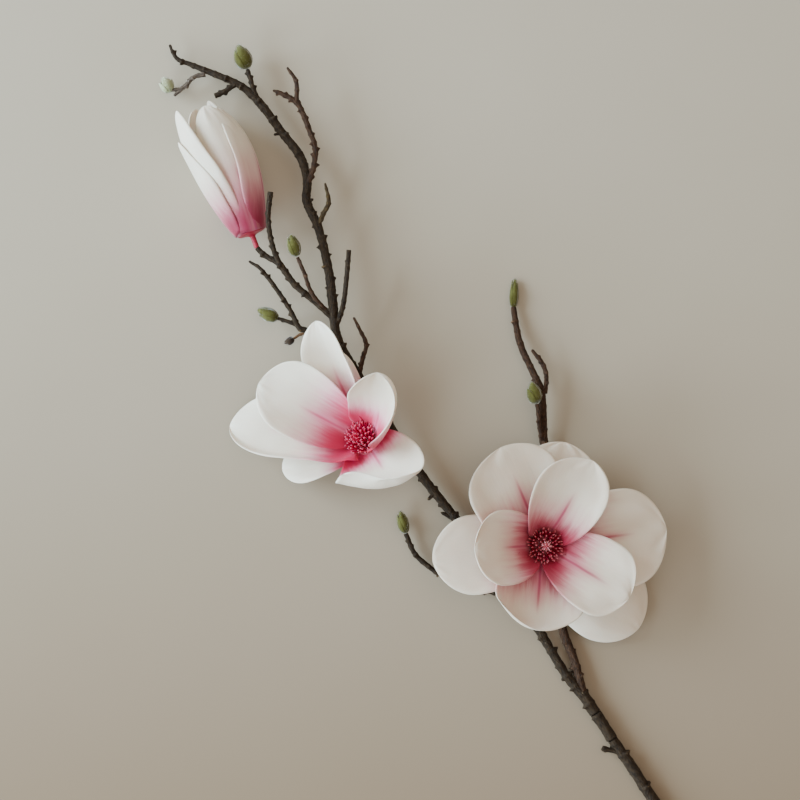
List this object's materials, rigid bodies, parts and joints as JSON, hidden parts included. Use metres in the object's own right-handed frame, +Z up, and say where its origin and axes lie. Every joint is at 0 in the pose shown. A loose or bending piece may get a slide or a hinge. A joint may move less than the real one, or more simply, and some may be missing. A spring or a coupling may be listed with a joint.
{
  "type": "artificial magnolia branch",
  "caption": "Long forked artificial magnolia branch lying on a surface, with open pink-hearted white flowers, a closed flower, downy green buds and bare brown twigs.",
  "frame": {"origin": "on the surface it lies on, below the middle of its box", "axes": "+Y towards the crown of the branch, +X to the right seen from above, +Z up from the surface"},
  "size_m": [0.3368, 0.5112, 0.0697],
  "materials": {
    "bark": "matt moulded bark, dark brown",
    "dark_bark": "smooth dark brown",
    "bud_down": "short pale down over olive green",
    "petal_open": "satin coated foam, off-white with sprayed pink and crimson at the foot",
    "petal_closed": "satin coated foam, white tip to crimson foot",
    "crimson": "satin crimson",
    "stamens": "dark crimson with pale tips",
    "pistil": "pale pink"
  },
  "bodies": {
    "root": {"lower_stem": "bark", "stem_sleeve": "bark", "left_stem": "bark", "upper_stem": "bark", "right_stem": "bark", "right_stem_twig": "bark", "fifth_bud_twig": "bark", "sixth_bud_twig": "bark", "crown_left_twig": "bark", "crown_stub_twig": "bark", "crown_bud_twig": "bark", "upper_twig": "bark", "golden_twig": "bark", "closed_flower_twig": "bark", "second_bud_twig": "bark", "side_twig": "bark", "third_bud_stalk": "bark", "tall_right_twig": "bark", "small_right_twig": "bark", "dark_bud_stalk": "dark_bark", "dark_bud": "dark_bark", "top_bud": "bud_down", "curled_bud": "bud_down", "second_bud": "bud_down", "third_bud": "bud_down", "right_tip_bud": "bud_down", "fifth_bud": "bud_down", "sixth_bud": "bud_down", "large_flower_petal_upper_inner": "petal_open", "large_flower_petal_left_inner": "petal_open", "large_flower_petal_lower_right_inner": "petal_open", "large_flower_petal_upper_left_middle": "petal_open", "large_flower_petal_lower_middle": "petal_open", "large_flower_petal_right_middle": "petal_open", "large_flower_petal_top_outer": "petal_open", "large_flower_petal_left_outer": "petal_open", "large_flower_petal_lower_right_outer": "petal_open", "middle_flower_petal_upper_left_inner": "petal_open", "middle_flower_petal_right_inner": "petal_open", "middle_flower_petal_top_middle": "petal_open", "middle_flower_petal_far_left_middle": "petal_open", "middle_flower_petal_lower_right_middle": "petal_open", "middle_flower_petal_top_outer": "petal_open", "middle_flower_petal_lower_left_outer": "petal_open", "closed_flower_petal_right_outer": "petal_closed", "closed_flower_petal_front_outer": "petal_closed", "closed_flower_petal_left_outer": "petal_closed", "closed_flower_petal_left_inner": "petal_closed", "closed_flower_petal_right_inner": "petal_closed", "closed_flower_petal_back_inner": "petal_closed", "large_flower_receptacle": "crimson", "middle_flower_receptacle": "crimson", "closed_flower_peg": "crimson", "large_flower_stamens": "stamens", "middle_flower_stamens": "stamens", "large_flower_pistil": "pistil", "middle_flower_pistil": "pistil"}
  },
  "joints": []
}
